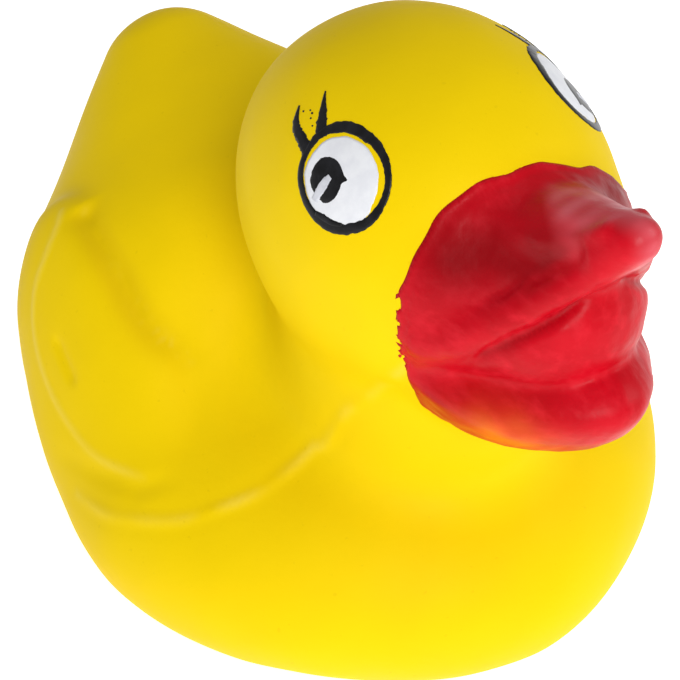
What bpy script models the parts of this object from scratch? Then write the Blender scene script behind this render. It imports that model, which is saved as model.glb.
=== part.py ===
"""Latex duck dog toy: a hollow cast duck with a reed squeaker held in its flat base.

Metres, +Z up. The duck faces -Y and +X is its own left side. The origin is the centre of
the whole body's box, on the plane that the flat base rests on.

The casting is a set of soft forms (hull, tail, wings, neck, head and the parts of the bill)
that run into each other with rounded joins. Each form is built as a ball or a pair of balls,
all are remeshed into one skin, and the skin is then drawn onto the blended surface.
The hollow inside is the same surface set in by the wall.
"""

import math

import bmesh
import bpy
import numpy as np
from mathutils import Euler, Matrix, Vector

# Hull: the round belly that the duck rests on. Its middle is the plan origin of every form.
HULL_HALF_WIDTH = 0.0439
HULL_FRONT_LENGTH = 0.0454
HULL_BACK_LENGTH = 0.0511
HULL_HALF_HEIGHT = 0.0233
HULL_PLAN_POWER = 1.75
BASE_SINK = 0.0025
BASE_EDGE = 0.003

# Tail: a blunt wedge swept up behind the hull, from a root ball to a tip ball.
TAIL_ROOT_BACK = 0.0253
TAIL_ROOT_RISE = 0.0102
TAIL_ROOT_RADIUS = 0.0320
TAIL_TIP_BACK = 0.0488
TAIL_TIP_RISE = 0.0361
TAIL_TIP_RADIUS = 0.0093
TAIL_WIDENING = 1.17
TAIL_BLEND = 0.009

# Wings: long flat pads on the shoulders, one mirrored from the other.
WING_OUT = 0.0318
WING_BACK = 0.0152
WING_RISE = 0.0129
WING_THICKNESS = 0.0069
WING_LENGTH = 0.0280
WING_HEIGHT = 0.0142
WING_TURN_DEG = (43.2, -21.5, 11.1)
WING_BLEND = 0.003

# Head, and the short neck under it.
HEAD_FORWARD = 0.0141
HEAD_RISE = 0.0498
HEAD_HALF_WIDTH = 0.0226
HEAD_HALF_LENGTH = 0.0282
HEAD_HALF_HEIGHT = 0.0253
NECK_DROP = 0.0240
NECK_HALF_WIDTH = 0.0185
NECK_HALF_LENGTH = 0.0205
NECK_HALF_HEIGHT = 0.0150
NECK_BLEND = 0.008
HEAD_BLEND = 0.006

# Upper bill: a wide root on the face, a mouth-corner pad, and a beak that turns up to its tip.
BILL_ROOT_FORWARD = 0.0165
BILL_ROOT_RISE = 0.0025
BILL_ROOT_RADII = (0.0164, 0.0135, 0.0128)
CORNER_FORWARD = 0.0175
CORNER_DROP = 0.0022
CORNER_RADII = (0.0152, 0.0135, 0.0050)
BEAK_ROOT_FORWARD = 0.0250
BEAK_ROOT_RISE = 0.0087
BEAK_ROOT_RADIUS = 0.0078
BEAK_TIP_FORWARD = 0.0398
BEAK_TIP_RISE = 0.0190
BEAK_TIP_RADIUS = 0.0022
BEAK_WIDENING = 1.08
BEAK_BLEND = 0.004

# Upper lip: a soft rim from the mouth corner up to the tip, as points beside the head's middle.
LIP_OUT = (0.0142, 0.0128, 0.0108, 0.0084, 0.0058, 0.0030, 0.0006)
LIP_FORWARD = (0.0204, 0.0238, 0.0268, 0.0300, 0.0334, 0.0360, 0.0386)
LIP_RISE = (-0.0018, -0.0006, 0.0018, 0.0048, 0.0088, 0.0136, 0.0176)
LIP_RADIUS = 0.0018
LIP_BLEND = 0.0025

# Mouth: the bulging web between the lips, and the lower bill with its own lip.
WEB_FORWARD = 0.0215
WEB_RISE = 0.0008
WEB_RADII = (0.0126, 0.0158, 0.0130)
WEB_TURN_DEG = -12
JAW_FORWARD = 0.0219
JAW_DROP = 0.0118
JAW_RADII = (0.0132, 0.0200, 0.0094)
JAW_TURN_DEG = -16.4
JAW_POWER = 1.7
CHIN_FORWARD = 0.0195
CHIN_DROP = 0.0093
CHIN_RADII = (0.0150, 0.0155, 0.0040)
MOUTH_BLEND = 0.0015
CHIN_BLEND = 0.003
BILL_BLEND = 0.0025

# Painted areas, as fields of colour on the skin.
PAINT_EDGE_FORWARD = 0.0188
PAINT_LOWEST_DROP = 0.0208
EYE_DIRECTION = (0.0172, -0.0072, 0.0151)
EYE_RADIUS = 0.0065
EYE_RING = 0.0011
PUPIL_RADIUS = 0.0026
EYE_MESH_EDGE = 0.0012

# Casting, and how finely its skins are meshed.
WALL = 0.0025
SKIN_VOXEL = 0.0013
HOLLOW_VOXEL = 0.0024
SKIN_TRIANGLES = 5600
HOLLOW_TRIANGLES = 1800
THINNEST_CORE = 0.0005
SLOPE_STEP = 0.00005
FLAT_WITHIN = 0.00012
MIRROR_WELD = 0.00001
CUT_WELD = 0.0001
TURNED_SIDES = 48
SHARP_ANGLE_DEG = 35

# Squeaker: a flanged cup pushed through a hole in the base, with a plug and a reed inside.
FIT_GAP = 0.0003
FLANGE_INSET = 0.0006
FLANGE_RADIUS = 0.0080
FLANGE_THICKNESS = 0.0012
LIP_THICKNESS = 0.0026
BOSS_WALL = 0.0025
COLLAR_OVERHANG = 0.0012
COLLAR_THICKNESS = 0.0015
CUP_RADIUS = 0.0060
CUP_HEIGHT = 0.0125
CUP_WALL = 0.0012
CUP_FLOOR = 0.0016
SOUND_HOLE_RADIUS = 0.0015
PLUG_HEAD = 0.0020
PLUG_FLAT_OFFSET = 0.0012
AIR_SLOT_WIDTH = 0.0016
AIR_SLOT_DEPTH = 0.0012
AIR_HOLE_RADIUS = 0.0007
REED_WIDTH = 0.0032
REED_THICKNESS = 0.0004
REED_LENGTH = 0.0066

HULL_CENTRE = np.array([0.0, 0.0, HULL_HALF_HEIGHT - BASE_SINK])
HEAD_CENTRE = HULL_CENTRE + (0.0, -HEAD_FORWARD, HEAD_RISE)

LATEX_YELLOW = (0.83, 0.60, 0.0, 1.0)
BEAK_RED = (0.60, 0.006, 0.014, 1.0)
EYE_WHITE = (0.78, 0.78, 0.82, 1.0)
EYE_BLACK = (0.008, 0.009, 0.012, 1.0)
CUP_WHITE = (0.80, 0.80, 0.76, 1.0)
PLUG_WHITE = (0.72, 0.72, 0.70, 1.0)
REED_CLEAR = (0.55, 0.60, 0.66, 1.0)


def clear_scene():
    for obj in list(bpy.data.objects):
        bpy.data.objects.remove(obj, do_unlink=True)


def material(name, colour, roughness):
    made = bpy.data.materials.new(name)
    made.use_nodes = True
    shader = made.node_tree.nodes["Principled BSDF"]
    shader.inputs["Base Color"].default_value = colour
    shader.inputs["Roughness"].default_value = roughness
    shader.inputs["Metallic"].default_value = 0.0
    return made


class Ball:
    """A stretched ball, turned and moved. power is 2 for an ellipsoid and less for a leaner
    form; plan_power does the same in plan alone, and back is its own length to the back."""

    def __init__(self, centre, radii, turn_deg=(0, 0, 0), power=2.0, plan_power=None, back=None):
        self.centre = np.array(centre, float)
        self.radii = np.array(radii, float)
        self.turn = np.array(Euler([math.radians(a) for a in turn_deg], "ZYX").to_matrix())
        self.power = power
        self.plan_power = plan_power or power
        self.back = back or radii[1]

    def gauge(self, local):
        """The ball's own size measure at local points, 1 on its surface, and how steep it is."""
        lengths = np.where(local[:, 1] > 0, self.back, self.radii[1])
        across = np.abs(local[:, 0]) / self.radii[0]
        along = np.abs(local[:, 1]) / lengths
        up = np.abs(local[:, 2]) / self.radii[2]
        plan = np.maximum((across**self.plan_power + along**self.plan_power), 1e-12)
        plan = plan ** (1 / self.plan_power)
        size = (plan**self.power + up**self.power) ** (1 / self.power)
        across = (across / plan) ** (self.plan_power - 1) / self.radii[0]
        along = (along / plan) ** (self.plan_power - 1) / lengths
        plan = (plan / size) ** (self.power - 1)
        up = (up / size) ** (self.power - 1) / self.radii[2]
        return size, np.sqrt(plan**2 * (across**2 + along**2) + up**2)

    def distance(self, points):
        size, slope = self.gauge((points - self.centre) @ self.turn)
        return (size - 1) / slope

    def add_to(self, bm, inset):
        made = bmesh.ops.create_icosphere(bm, subdivisions=4, radius=1.0)["verts"]
        local = np.array([v.co for v in made]) * self.radii
        local /= self.gauge(local)[0][:, None]
        local *= np.maximum(1 - inset / self.radii, THINNEST_CORE / self.radii)
        for vert, place in zip(made, local @ self.turn.T + self.centre):
            vert.co = place


class BallPair:
    """Two balls and the cone that wraps them both, widened across."""

    def __init__(self, start, end, start_radius, end_radius, widening=1.0):
        self.widen = np.array([widening, 1.0, 1.0])
        self.start = np.array(start, float) / self.widen
        self.end = np.array(end, float) / self.widen
        self.start_radius = start_radius
        self.end_radius = end_radius

    def distance(self, points):
        run = self.end - self.start
        length = np.linalg.norm(run)
        offset = points / self.widen - self.start
        along = offset @ run / length
        across = np.linalg.norm(offset - along[:, None] * run / length, axis=1)
        sine = (self.start_radius - self.end_radius) / length
        cosine = math.sqrt(1 - sine**2)
        reach = along * cosine - across * sine
        side = across * cosine + along * sine - self.start_radius
        start = np.hypot(across, along) - self.start_radius
        end = np.hypot(across, along - length) - self.end_radius
        return np.where(reach < 0, start, np.where(reach > cosine * length, end, side))

    def add_to(self, bm, inset):
        made = []
        for centre, radius in ((self.start, self.start_radius), (self.end, self.end_radius)):
            radius = max(radius - inset, THINNEST_CORE)
            for place in (centre + radius * ball_directions()) * self.widen:
                made.append(bm.verts.new(place))
        bmesh.ops.convex_hull(bm, input=made)
        inner = [v for v in made if v.is_valid and not v.link_faces]
        bmesh.ops.delete(bm, geom=inner, context="VERTS")


def ball_directions():
    """Even directions all round, as unit vectors."""
    bm = bmesh.new()
    made = bmesh.ops.create_icosphere(bm, subdivisions=3, radius=1.0)["verts"]
    directions = np.array([v.co for v in made])
    bm.free()
    return directions


def blend(first, second, radius):
    """Union of two distances with a rounded join."""
    share = np.clip(0.5 + 0.5 * (second - first) / radius, 0, 1)
    return second + (first - second) * share - radius * share * (1 - share)


def beside_head(out, forward, rise):
    return HEAD_CENTRE + (out, -forward, rise)


def duck_forms():
    """Every soft form by name. Those beside the middle are on the duck's left alone."""
    forms = {
        "hull": Ball(
            HULL_CENTRE,
            (HULL_HALF_WIDTH, HULL_FRONT_LENGTH, HULL_HALF_HEIGHT),
            plan_power=HULL_PLAN_POWER,
            back=HULL_BACK_LENGTH,
        ),
        "tail": BallPair(
            HULL_CENTRE + (0, TAIL_ROOT_BACK, TAIL_ROOT_RISE),
            HULL_CENTRE + (0, TAIL_TIP_BACK, TAIL_TIP_RISE),
            TAIL_ROOT_RADIUS,
            TAIL_TIP_RADIUS,
            TAIL_WIDENING,
        ),
        "wing": Ball(
            HULL_CENTRE + (WING_OUT, WING_BACK, WING_RISE),
            (WING_THICKNESS, WING_LENGTH, WING_HEIGHT),
            WING_TURN_DEG,
        ),
        "neck": Ball(
            beside_head(0, 0, -NECK_DROP),
            (NECK_HALF_WIDTH, NECK_HALF_LENGTH, NECK_HALF_HEIGHT),
        ),
        "head": Ball(HEAD_CENTRE, (HEAD_HALF_WIDTH, HEAD_HALF_LENGTH, HEAD_HALF_HEIGHT)),
        "bill_root": Ball(beside_head(0, BILL_ROOT_FORWARD, BILL_ROOT_RISE), BILL_ROOT_RADII),
        "corner": Ball(beside_head(0, CORNER_FORWARD, -CORNER_DROP), CORNER_RADII),
        "beak": BallPair(
            beside_head(0, BEAK_ROOT_FORWARD, BEAK_ROOT_RISE),
            beside_head(0, BEAK_TIP_FORWARD, BEAK_TIP_RISE),
            BEAK_ROOT_RADIUS,
            BEAK_TIP_RADIUS,
            BEAK_WIDENING,
        ),
        "web": Ball(beside_head(0, WEB_FORWARD, WEB_RISE), WEB_RADII, (WEB_TURN_DEG, 0, 0)),
        "jaw": Ball(
            beside_head(0, JAW_FORWARD, -JAW_DROP), JAW_RADII, (JAW_TURN_DEG, 0, 0), JAW_POWER
        ),
        "chin": Ball(beside_head(0, CHIN_FORWARD, -CHIN_DROP), CHIN_RADII),
    }
    rim = [beside_head(*place) for place in zip(LIP_OUT, LIP_FORWARD, LIP_RISE)]
    for number, (start, end) in enumerate(zip(rim, rim[1:])):
        forms[f"lip_{number}"] = BallPair(start, end, LIP_RADIUS, LIP_RADIUS)
    return forms


def duck_distance(points, forms, inset=0.0):
    """Signed distance to the duck's skin, set in by inset, with its flat base at Z 0."""
    left = points * (1, 1, 1)
    left[:, 0] = np.abs(left[:, 0])
    far = {name: form.distance(left) for name, form in forms.items()}
    body = blend(far["hull"], far["tail"], TAIL_BLEND)
    body = blend(body, far["wing"], WING_BLEND)
    body = blend(body, far["neck"], NECK_BLEND)
    body = blend(body, far["head"], HEAD_BLEND)
    upper = blend(far["bill_root"], far["beak"], BEAK_BLEND)
    upper = blend(upper, far["corner"], CHIN_BLEND)
    rim = np.min([far[name] for name in far if name.startswith("lip_")], axis=0)
    upper = blend(upper, rim, LIP_BLEND)
    lower = blend(far["jaw"], far["chin"], CHIN_BLEND)
    bill = blend(blend(upper, far["web"], MOUTH_BLEND), lower, MOUTH_BLEND)
    body = blend(body, bill, BILL_BLEND)
    return -blend(-body, points[:, 2], BASE_EDGE) + inset


def mesh_points(mesh):
    flat = np.empty(len(mesh.vertices) * 3)
    mesh.vertices.foreach_get("co", flat)
    return flat.reshape(-1, 3)


def draw_onto_skin(mesh, forms, inset, rounds=8):
    """Moves each vertex along the field's slope until it lies on the skin, evening the mesh."""
    points = mesh_points(mesh)
    edges = np.empty(len(mesh.edges) * 2, int)
    mesh.edges.foreach_get("vertices", edges)
    one, other = edges.reshape(-1, 2).T
    count = np.bincount(edges, minlength=len(points))[:, None]
    for turn in range(rounds):
        if turn < rounds // 2:
            around = np.zeros_like(points)
            np.add.at(around, one, points[other])
            np.add.at(around, other, points[one])
            points = 0.5 * points + 0.5 * around / count
        value = duck_distance(points, forms, inset)
        steps = np.eye(3) * SLOPE_STEP
        ahead = [duck_distance(points + step, forms, inset) for step in steps]
        slope = (np.array(ahead).T - value[:, None]) / SLOPE_STEP
        points -= slope * (value / np.maximum((slope**2).sum(1), 0.2))[:, None]
    floor = inset + FLAT_WITHIN
    points[points[:, 2] < floor, 2] = inset
    mesh.vertices.foreach_set("co", points.ravel())
    mesh.update()


def apply_modifiers(obj):
    graph = bpy.context.evaluated_depsgraph_get()
    mesh = bpy.data.meshes.new_from_object(obj.evaluated_get(graph))
    obj.modifiers.clear()
    obj.data = mesh


def triangulate(bm):
    bmesh.ops.triangulate(bm, faces=[f for f in bm.faces if len(f.verts) > 3])


def cast_skin(name, forms, inset, voxel, triangles):
    """One closed symmetric skin, inset from the duck's surface, at about this many triangles."""
    bm = bmesh.new()
    for form in forms.values():
        form.add_to(bm, inset)
    bmesh.ops.recalc_face_normals(bm, faces=bm.faces)
    mesh = bpy.data.meshes.new(name)
    bm.to_mesh(mesh)
    bm.free()
    obj = bpy.data.objects.new(name, mesh)
    bpy.context.scene.collection.objects.link(obj)
    both_sides = obj.modifiers.new("both_sides", "MIRROR")
    both_sides.use_mirror_merge = False
    remesh = obj.modifiers.new("one_skin", "REMESH")
    remesh.mode = "VOXEL"
    remesh.voxel_size = voxel
    apply_modifiers(obj)
    draw_onto_skin(obj.data, forms, inset)
    fewer = obj.modifiers.new("fewer", "DECIMATE")
    fewer.ratio = triangles / (2 * len(obj.data.polygons))
    fewer.use_collapse_triangulate = True
    apply_modifiers(obj)
    bm = bmesh.new()
    bm.from_mesh(obj.data)
    everything = list(bm.verts) + list(bm.edges) + list(bm.faces)
    bmesh.ops.symmetrize(bm, input=everything, direction="X", dist=MIRROR_WELD)
    triangulate(bm)
    bm.to_mesh(obj.data)
    bm.free()
    draw_onto_skin(obj.data, forms, inset, rounds=1)
    return obj


def eye_places(forms):
    """Middle and outward axis of each painted eye, on the head's surface."""
    direction = np.array([EYE_DIRECTION])
    place = (direction / forms["head"].gauge(direction)[0])[0]
    outward = place / np.square(forms["head"].radii)
    for side in (1, -1):
        mirror = np.array([side, 1, 1])
        axis = Vector(outward * mirror).normalized()
        yield Vector(HEAD_CENTRE + place * mirror), axis


def refine_near(bm, centre, reach, longest):
    """Splits the edges near a point, longest ones first, down to about this length."""
    for limit in (4 * longest, 2 * longest, longest, longest):
        near = [
            e
            for e in bm.edges
            if e.calc_length() > limit
            and ((e.verts[0].co + e.verts[1].co) / 2 - centre).length < reach
        ]
        bmesh.ops.subdivide_edges(bm, edges=near, cuts=1)
        triangulate(bm)


def snap_to_circle(bm, centre, axis, radius, within):
    """Moves the vertices that lie near a circle onto it, so that a field of colour ends there."""
    for vert in bm.verts:
        offset = vert.co - centre
        height = offset.dot(axis)
        flat = offset - height * axis
        if abs(height) < radius and abs(flat.length - radius) < within:
            vert.co += flat.normalized() * (radius - flat.length)


def paint_faces(bm, slot, chosen):
    for face in bm.faces:
        if chosen(face.calc_center_median()):
            face.material_index = slot


def in_disc(centre, axis, radius):
    def chosen(place):
        offset = place - centre
        height = offset.dot(axis)
        return abs(height) < radius and (offset - height * axis).length < radius

    return chosen


def paint_beak(bm):
    """Red in front of an upright plane across the face, and above the breast."""
    edge = HEAD_CENTRE[1] - PAINT_EDGE_FORWARD
    lowest = HEAD_CENTRE[2] - PAINT_LOWEST_DROP
    for plane, facing in (((0, 0, lowest), (0, 0, 1)), ((0, edge, 0), (0, 1, 0))):
        faces = [
            f
            for f in bm.faces
            if min(v.co.y for v in f.verts) < edge and max(v.co.z for v in f.verts) > lowest
        ]
        geometry = faces + list({e for f in faces for e in f.edges})
        geometry += list({v for f in faces for v in f.verts})
        bmesh.ops.bisect_plane(bm, geom=geometry, dist=CUT_WELD, plane_co=plane, plane_no=facing)
        triangulate(bm)
    paint_faces(bm, 1, lambda place: place.y < edge and place.z > lowest)


def paint_eyes(bm, forms):
    """On each side a white eye in a black ring, with a pupil that sits low and to the back."""
    for centre, axis in eye_places(forms):
        inner = EYE_RADIUS - EYE_RING
        back = Vector((0, 1, 0)) - axis.y * axis
        pupil = centre + back.normalized() * (inner - PUPIL_RADIUS)
        snap_to_circle(bm, centre, axis, EYE_RADIUS, EYE_MESH_EDGE / 2)
        snap_to_circle(bm, centre, axis, inner, EYE_MESH_EDGE / 2)
        snap_to_circle(bm, pupil, axis, PUPIL_RADIUS, EYE_MESH_EDGE / 2)
        paint_faces(bm, 3, in_disc(centre, axis, EYE_RADIUS))
        paint_faces(bm, 2, in_disc(centre, axis, inner))
        paint_faces(bm, 3, in_disc(pupil, axis, PUPIL_RADIUS))


def hide_cutter(obj):
    obj.hide_render = True
    obj.display_type = "WIRE"


def combine(obj, other, operation):
    change = obj.modifiers.new(f"{operation.lower()}_{other.name}", "BOOLEAN")
    change.operation = operation
    change.solver = "EXACT"
    change.object = other
    hide_cutter(other)


def turned(name, profile, colour=None, roughness=0.5):
    """A solid of revolution about Z from (radius, height) corners, given upwards on the outside."""
    bm = bmesh.new()
    corners = [bm.verts.new((radius, 0, height)) for radius, height in profile]
    outline = list(zip(corners, corners[1:] + corners[:1]))
    edges = [bm.edges.new(pair) for pair in outline if pair[0].co.x + pair[1].co.x > 0]
    bmesh.ops.spin(
        bm,
        geom=corners + edges,
        cent=(0, 0, 0),
        axis=(0, 0, 1),
        angle=2 * math.pi,
        steps=TURNED_SIDES,
        use_merge=True,
    )
    bmesh.ops.remove_doubles(bm, verts=bm.verts, dist=MIRROR_WELD)
    bmesh.ops.recalc_face_normals(bm, faces=bm.faces)
    mesh = bpy.data.meshes.new(name)
    bm.to_mesh(mesh)
    bm.free()
    mesh.shade_smooth()
    mesh.set_sharp_from_angle(angle=math.radians(SHARP_ANGLE_DEG))
    obj = bpy.data.objects.new(name, mesh)
    bpy.context.scene.collection.objects.link(obj)
    if colour:
        mesh.materials.append(material(name, colour, roughness))
    return obj


def block(name, low, high, colour=None, roughness=0.5):
    """A box from its lowest to its highest corner."""
    bm = bmesh.new()
    bmesh.ops.create_cube(bm, size=1)
    size = np.subtract(high, low)
    bmesh.ops.transform(
        bm,
        matrix=Matrix.Translation(np.add(low, high) / 2) @ Matrix.Diagonal((*size, 1)),
        verts=bm.verts,
    )
    mesh = bpy.data.meshes.new(name)
    bm.to_mesh(mesh)
    bm.free()
    obj = bpy.data.objects.new(name, mesh)
    bpy.context.scene.collection.objects.link(obj)
    if colour:
        mesh.materials.append(material(name, colour, roughness))
    return obj


# Heights of the squeaker's seats, each from the one below it.
FLANGE_TOP = FLANGE_INSET + FLANGE_THICKNESS
RECESS_DEPTH = FLANGE_TOP + FIT_GAP
BOSS_TOP = RECESS_DEPTH + LIP_THICKNESS
COLLAR_BOTTOM = BOSS_TOP + FIT_GAP
COLLAR_TOP = COLLAR_BOTTOM + COLLAR_THICKNESS
CUP_TOP = FLANGE_INSET + CUP_HEIGHT
CUP_BORE = CUP_RADIUS - CUP_WALL
CUP_FLOOR_TOP = FLANGE_INSET + CUP_FLOOR
PLUG_RADIUS = CUP_BORE - FIT_GAP
PLUG_BOTTOM = CUP_FLOOR_TOP + FIT_GAP
RECESS_RADIUS = FLANGE_RADIUS + FIT_GAP
BASE_HOLE_RADIUS = CUP_RADIUS + FIT_GAP
BOSS_RADIUS = RECESS_RADIUS + BOSS_WALL


def latex_shell():
    """The hollow duck, with a boss and a stepped hole in its base for the squeaker."""
    forms = duck_forms()
    shell = cast_skin("latex_shell", forms, 0.0, SKIN_VOXEL, SKIN_TRIANGLES)
    bm = bmesh.new()
    bm.from_mesh(shell.data)
    for centre, _ in eye_places(forms):
        refine_near(bm, centre, EYE_RADIUS + EYE_MESH_EDGE, EYE_MESH_EDGE)
    bm.to_mesh(shell.data)
    draw_onto_skin(shell.data, forms, 0.0, rounds=1)
    bm.clear()
    bm.from_mesh(shell.data)
    paint_beak(bm)
    paint_eyes(bm, forms)
    bm.to_mesh(shell.data)
    bm.free()
    for name, colour, roughness in (
        ("latex", LATEX_YELLOW, 0.55),
        ("beak_paint", BEAK_RED, 0.35),
        ("eye_white_paint", EYE_WHITE, 0.4),
        ("black_paint", EYE_BLACK, 0.3),
    ):
        shell.data.materials.append(material(name, colour, roughness))
    shell.data.shade_smooth()
    hollow = cast_skin("hollow", forms, WALL, HOLLOW_VOXEL, HOLLOW_TRIANGLES)
    boss = turned("boss", [(0, WALL / 2), (BOSS_RADIUS, WALL / 2), (BOSS_RADIUS, BOSS_TOP), (0, BOSS_TOP)])
    hole = turned(
        "base_hole",
        [
            (0, -WALL),
            (RECESS_RADIUS, -WALL),
            (RECESS_RADIUS, RECESS_DEPTH),
            (BASE_HOLE_RADIUS, RECESS_DEPTH),
            (BASE_HOLE_RADIUS, BOSS_TOP + WALL),
            (0, BOSS_TOP + WALL),
        ],
    )
    combine(shell, hollow, "DIFFERENCE")
    combine(shell, boss, "UNION")
    combine(shell, hole, "DIFFERENCE")
    return shell, [hollow, boss, hole]


def squeaker_cup():
    """The flanged cup that the latex lip grips between its flange and its collar."""
    return turned(
        "squeaker_cup",
        [
            (SOUND_HOLE_RADIUS, FLANGE_INSET),
            (FLANGE_RADIUS, FLANGE_INSET),
            (FLANGE_RADIUS, FLANGE_TOP),
            (CUP_RADIUS, FLANGE_TOP),
            (CUP_RADIUS, COLLAR_BOTTOM),
            (CUP_RADIUS + COLLAR_OVERHANG, COLLAR_BOTTOM),
            (CUP_RADIUS, COLLAR_TOP),
            (CUP_RADIUS, CUP_TOP),
            (CUP_BORE, CUP_TOP),
            (CUP_BORE, CUP_FLOOR_TOP),
            (SOUND_HOLE_RADIUS, CUP_FLOOR_TOP),
        ],
        CUP_WHITE,
        0.45,
    )


def squeaker_plug():
    """The round plug, flatted below its head, with the air slot that the reed lies over."""
    plug = turned(
        "squeaker_plug",
        [(0, PLUG_BOTTOM), (PLUG_RADIUS, PLUG_BOTTOM), (PLUG_RADIUS, CUP_TOP), (0, CUP_TOP)],
        PLUG_WHITE,
        0.5,
    )
    head_bottom = CUP_TOP - PLUG_HEAD
    beyond = 2 * PLUG_RADIUS
    flat = block(
        "plug_flat",
        (PLUG_FLAT_OFFSET, -beyond, PLUG_BOTTOM - beyond),
        (beyond, beyond, head_bottom),
    )
    slot = block(
        "air_slot",
        (PLUG_FLAT_OFFSET - AIR_SLOT_DEPTH, -AIR_SLOT_WIDTH / 2, reed_bottom() + REED_WIDTH / 2),
        (beyond, AIR_SLOT_WIDTH / 2, head_bottom),
    )
    hole = turned(
        "air_hole",
        [
            (0, head_bottom - AIR_HOLE_RADIUS),
            (AIR_HOLE_RADIUS, head_bottom - AIR_HOLE_RADIUS),
            (AIR_HOLE_RADIUS, CUP_TOP + AIR_HOLE_RADIUS),
            (0, CUP_TOP + AIR_HOLE_RADIUS),
        ],
    )
    hole.location.x = PLUG_FLAT_OFFSET - AIR_SLOT_DEPTH / 2
    combine(plug, flat, "DIFFERENCE")
    combine(plug, slot, "DIFFERENCE")
    combine(plug, hole, "DIFFERENCE")
    return plug, [flat, slot, hole]


def reed_bottom():
    """The reed hangs from just under the plug's head."""
    return CUP_TOP - PLUG_HEAD - FIT_GAP - REED_LENGTH


def squeaker_reed():
    """The springy tongue that covers the air slot and buzzes when the duck is squeezed."""
    inner = PLUG_FLAT_OFFSET + FIT_GAP
    return block(
        "squeaker_reed",
        (inner, -REED_WIDTH / 2, reed_bottom()),
        (inner + REED_THICKNESS, REED_WIDTH / 2, reed_bottom() + REED_LENGTH),
        REED_CLEAR,
        0.3,
    )


def main():
    clear_scene()
    shell, shell_cutters = latex_shell()
    plug, plug_cutters = squeaker_plug()
    pieces = [shell, squeaker_cup(), plug, squeaker_reed(), *shell_cutters, *plug_cutters]
    places = mesh_points(shell.data)
    middle = (places.min(axis=0) + places.max(axis=0)) / 2
    frame = bpy.data.objects.new("duck_frame", None)
    bpy.context.scene.collection.objects.link(frame)
    frame.location = (0, -middle[1], 0)
    for piece in pieces:
        piece.parent = frame
    bpy.context.view_layer.update()


main()
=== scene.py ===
"""Latex duck dog toy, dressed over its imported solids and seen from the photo's angle.

The surface is worked out in millimetres in the camera fit's own frame (duck faces -Y, +X is its
left side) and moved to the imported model's frame at the end.
"""

import math

import bmesh
import bpy
import numpy as np
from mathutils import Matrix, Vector


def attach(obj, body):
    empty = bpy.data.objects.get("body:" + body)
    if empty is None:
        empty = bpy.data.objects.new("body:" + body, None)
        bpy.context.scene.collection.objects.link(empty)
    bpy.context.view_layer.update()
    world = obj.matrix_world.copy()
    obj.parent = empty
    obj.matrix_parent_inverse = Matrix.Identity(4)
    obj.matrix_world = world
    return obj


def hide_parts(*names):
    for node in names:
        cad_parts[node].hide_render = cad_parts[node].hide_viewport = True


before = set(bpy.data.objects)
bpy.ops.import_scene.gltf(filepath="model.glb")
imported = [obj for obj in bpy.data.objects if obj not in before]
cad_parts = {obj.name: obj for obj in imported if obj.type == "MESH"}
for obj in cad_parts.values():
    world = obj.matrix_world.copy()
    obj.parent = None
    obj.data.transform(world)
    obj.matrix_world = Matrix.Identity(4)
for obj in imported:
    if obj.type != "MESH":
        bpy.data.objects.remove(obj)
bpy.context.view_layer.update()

# Mesh spacing and the step from the fit's frame to the row's, in millimetres.

BODY_VOXEL = 0.70
BEAK_VOXEL = 0.42
TO_ROW = np.array([0.0, 5.5, -3.85])
TO_METRES = 0.001
TO_MILLIMETRES = 1000


# Field of the duck's surface.


def turn(x=0, y=0, z=0):
    """Rotation matrix from angles about the three axes, in degrees."""
    x, y, z = np.radians([x, y, z])
    cx, sx, cy, sy, cz, sz = np.cos(x), np.sin(x), np.cos(y), np.sin(y), np.cos(z), np.sin(z)
    about_x = np.array([[1, 0, 0], [0, cx, -sx], [0, sx, cx]])
    about_y = np.array([[cy, 0, sy], [0, 1, 0], [-sy, 0, cy]])
    about_z = np.array([[cz, -sz, 0], [sz, cz, 0], [0, 0, 1]])
    return about_x @ about_y @ about_z


class Ball:
    """A stretched ball. Powers over 2 square it off, and back is its own length behind the middle."""

    def __init__(self, centre, radii, rotation=None, power=2.0, plan_power=None, back=None):
        self.centre = np.array(centre, float)
        self.radii = np.array(radii, float)
        self.turn = np.eye(3) if rotation is None else rotation
        self.power = power
        self.plan_power = plan_power or power
        self.back = back or radii[1]

    def gauge(self, local):
        """How many times its size the ball needs to reach a local point, and how fast that grows."""
        lengths = np.where(local[:, 1] > 0, self.back, self.radii[1])
        across = np.abs(local[:, 0]) / self.radii[0]
        along = np.abs(local[:, 1]) / lengths
        up = np.abs(local[:, 2]) / self.radii[2]
        plan = np.maximum(across**self.plan_power + along**self.plan_power, 1e-12)
        plan = plan ** (1 / self.plan_power)
        size = (plan**self.power + up**self.power) ** (1 / self.power)
        across = (across / plan) ** (self.plan_power - 1) / self.radii[0]
        along = (along / plan) ** (self.plan_power - 1) / lengths
        plan = (plan / size) ** (self.power - 1)
        up = (up / size) ** (self.power - 1) / self.radii[2]
        return size, np.sqrt(plan**2 * (across**2 + along**2) + up**2)

    def distance(self, points):
        size, slope = self.gauge((points - self.centre) @ self.turn)
        return (size - 1) / slope

    def seed(self, bm):
        """Adds the ball's own mesh."""
        made = bmesh.ops.create_icosphere(bm, subdivisions=5, radius=1.0)["verts"]
        local = np.array([v.co for v in made]) * self.radii
        local /= self.gauge(local)[0][:, None]
        for vert, place in zip(made, local @ self.turn.T + self.centre):
            vert.co = place


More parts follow.
